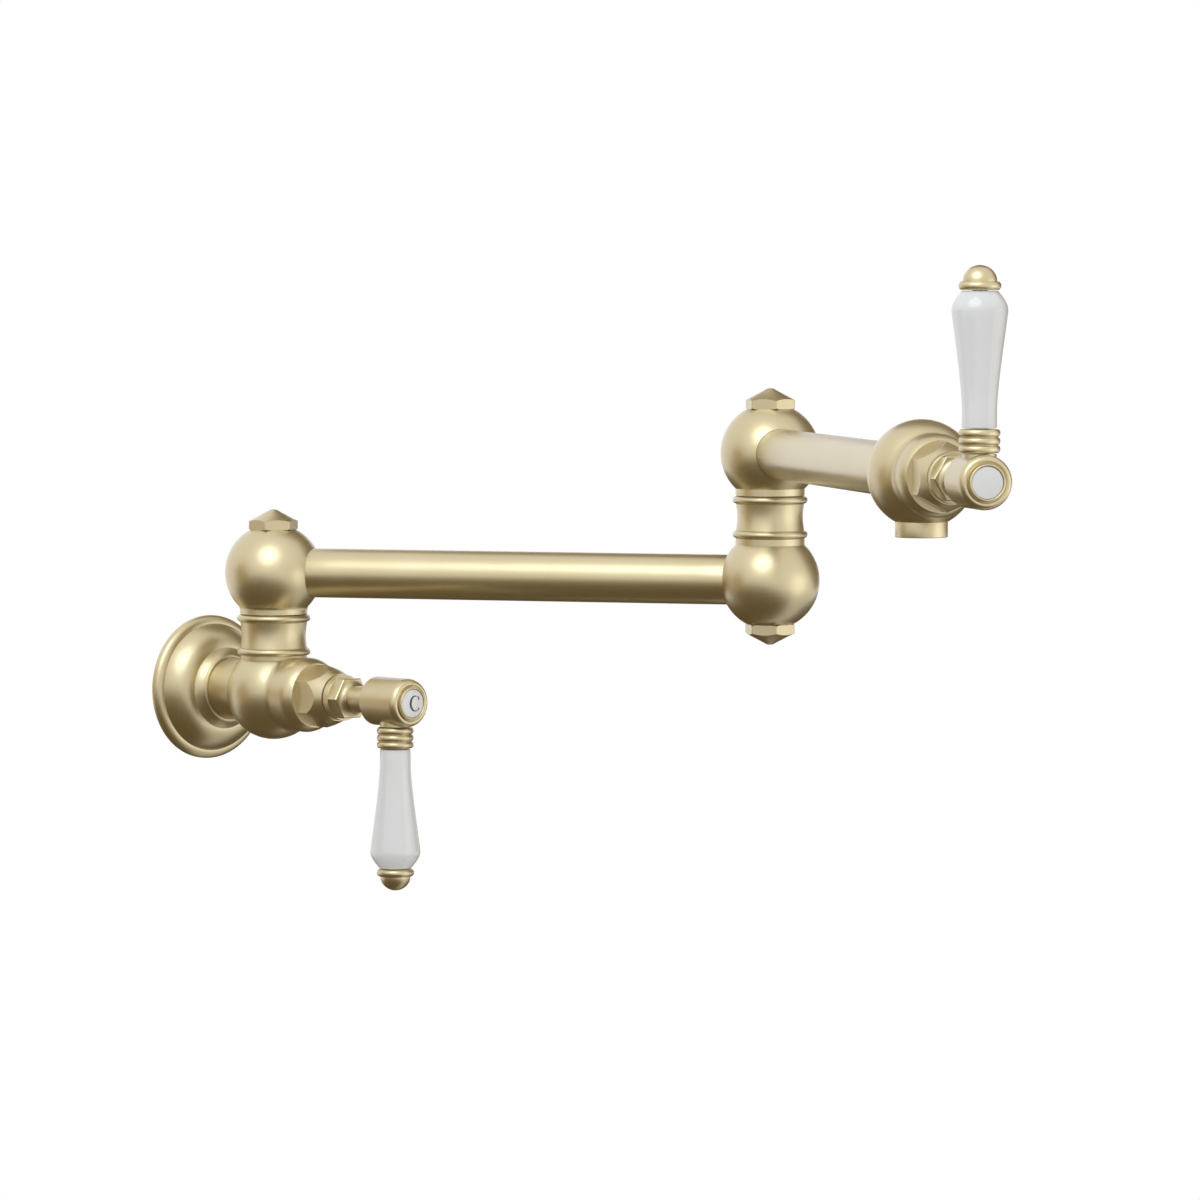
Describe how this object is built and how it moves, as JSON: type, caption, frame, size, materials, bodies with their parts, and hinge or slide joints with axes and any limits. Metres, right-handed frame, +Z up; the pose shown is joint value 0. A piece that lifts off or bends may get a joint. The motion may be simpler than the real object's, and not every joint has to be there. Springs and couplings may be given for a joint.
{
  "type": "wall mounted pot filler",
  "caption": "Wall mounted pot filler: a stop valve on a round flange, jointed arms on ball swivels, and a lever valve over the downward outlet.",
  "frame": {"origin": "centre of the wall flange's back face, on the wall", "axes": "+Z up, -Y out of the wall into the room, +X to the right as seen from the room"},
  "size_m": [0.2043, 0.5445, 0.2763],
  "materials": {
    "satin_brass": "satin brushed, pale champagne gold",
    "plain_brass": "turned, unplated",
    "porcelain": "glossy white glaze",
    "ceramic_disc": "lapped",
    "rubber": "matte black",
    "acetal": "matte white",
    "steel": "brushed"
  },
  "bodies": {
    "wall_body": {"wall_flange": "satin_brass", "flange_gasket": "rubber", "flange_set_screw": "steel", "valve_body": "satin_brass", "wall_swivel_sleeve": "satin_brass", "wall_swivel_post": "plain_brass", "wall_swivel_oring": "rubber", "wall_swivel_washer": "acetal", "wall_swivel_post_nut": "plain_brass", "wall_bonnet": "satin_brass", "wall_packing_nut": "satin_brass", "wall_gland_seal": "rubber", "wall_cartridge": "plain_brass", "wall_seat_seal": "rubber", "wall_fixed_disc": "ceramic_disc"},
    "wall_lever": {"wall_stem": "plain_brass", "wall_moving_disc": "ceramic_disc", "wall_hub": "satin_brass", "wall_handle_screw": "steel", "wall_index_ring": "satin_brass", "wall_index": "porcelain", "wall_lever_collar": "satin_brass", "wall_lever_rod": "steel", "wall_lever_grip": "porcelain", "wall_lever_finial": "satin_brass"},
    "inner_arm": {"inner_ball": "satin_brass", "inner_ball_cap": "satin_brass", "inner_tube": "satin_brass", "elbow_ball": "satin_brass", "elbow_ball_cap": "satin_brass", "elbow_swivel_sleeve": "satin_brass", "elbow_swivel_post": "plain_brass", "elbow_swivel_oring": "rubber", "elbow_swivel_washer": "acetal", "elbow_swivel_post_nut": "plain_brass"},
    "outer_arm": {"outer_ball": "satin_brass", "outer_ball_cap": "satin_brass", "outer_tube": "satin_brass", "spout_body": "satin_brass", "spout_outlet": "satin_brass", "flow_straightener": "acetal", "spout_bonnet": "satin_brass", "spout_packing_nut": "satin_brass", "spout_gland_seal": "rubber", "spout_cartridge": "plain_brass", "spout_seat_seal": "rubber", "spout_fixed_disc": "ceramic_disc"},
    "spout_lever": {"spout_stem": "plain_brass", "spout_moving_disc": "ceramic_disc", "spout_hub": "satin_brass", "spout_handle_screw": "steel", "spout_index_ring": "satin_brass", "spout_index": "porcelain", "spout_lever_collar": "satin_brass", "spout_lever_rod": "steel", "spout_lever_grip": "porcelain", "spout_lever_finial": "satin_brass"}
  },
  "joints": [
    {"name": "wall_swivel", "type": "hinge", "parent": "wall_body", "child": "inner_arm", "pos_m": [0, -0.047, 0.05396], "axis": [0, 0, 1], "range_deg": [-120.4, 59.6]},
    {"name": "elbow_swivel", "type": "hinge", "parent": "inner_arm", "child": "outer_arm", "pos_m": [0.11679, -0.24607, 0.10987], "axis": [0, 0, 1], "continuous": true},
    {"name": "wall_valve_turn", "type": "hinge", "parent": "wall_body", "child": "wall_lever", "pos_m": [0, -0.047, 0], "axis": [0, -1, 0], "range_deg": [0, 90]},
    {"name": "spout_valve_turn", "type": "hinge", "parent": "outer_arm", "child": "spout_lever", "pos_m": [-0.00977, -0.45923, 0.10987], "axis": [-0.5105, -0.8599, 0], "range_deg": [0, 90]}
  ]
}
